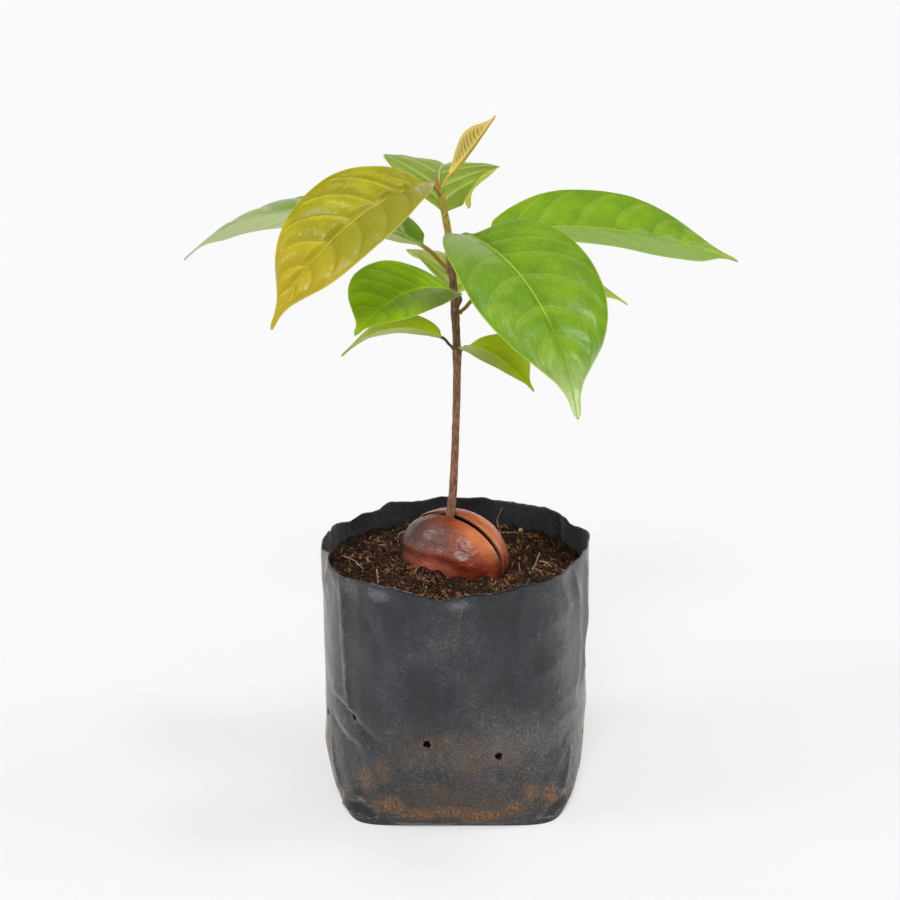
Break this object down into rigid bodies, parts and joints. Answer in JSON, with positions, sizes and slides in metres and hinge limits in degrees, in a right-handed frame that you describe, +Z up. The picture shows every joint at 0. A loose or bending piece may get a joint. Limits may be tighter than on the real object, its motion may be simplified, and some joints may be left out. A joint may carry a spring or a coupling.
{
  "type": "potted kola nut seedling",
  "caption": "Kola nut seedling in a black nursery bag of soil: the split nut sits on the soil and a woody shoot rises from it to a crown of green and bronze leaves.",
  "frame": {"origin": "centre of the bag's base, on the surface it stands on", "axes": "+Z up the stem, -Y towards the side with the large front leaf, +X along the far right leaf"},
  "size_m": [0.2608, 0.2265, 0.3167],
  "materials": {
    "bag_film": "thin black polythene with a soft sheen, dusty with dry soil",
    "earth": "dark, crumbly and fibrous",
    "nut_skin": "smooth mahogany skin with a moist gloss",
    "bark": "speckled brown bark, olive towards the tip",
    "leaf_green": "leathery green blade with pale veins",
    "leaf_pale": "green blade, pale where it turns to the light",
    "leaf_bronze": "young blade, quilted, yellow bronze",
    "leaf_gold": "folded young blade, golden with brown stripes",
    "bud_scale": "dry brown scale"
  },
  "bodies": {
    "root": {"grow_bag": "bag_film", "soil": "earth", "nut_front_half": "nut_skin", "nut_back_half": "nut_skin", "stem_and_taproot": "bark", "leaf_front_right": "leaf_green", "leaf_far_right": "leaf_green", "leaf_far_left": "leaf_pale", "leaf_left_bronze": "leaf_bronze", "leaf_top_back": "leaf_pale", "leaf_mid_left": "leaf_green", "leaf_low_left": "leaf_green", "leaf_low_right": "leaf_green", "leaf_mid_back": "leaf_pale", "leaf_mid_right": "leaf_green", "leaf_top_young": "leaf_gold", "terminal_bud": "bud_scale"}
  },
  "joints": []
}
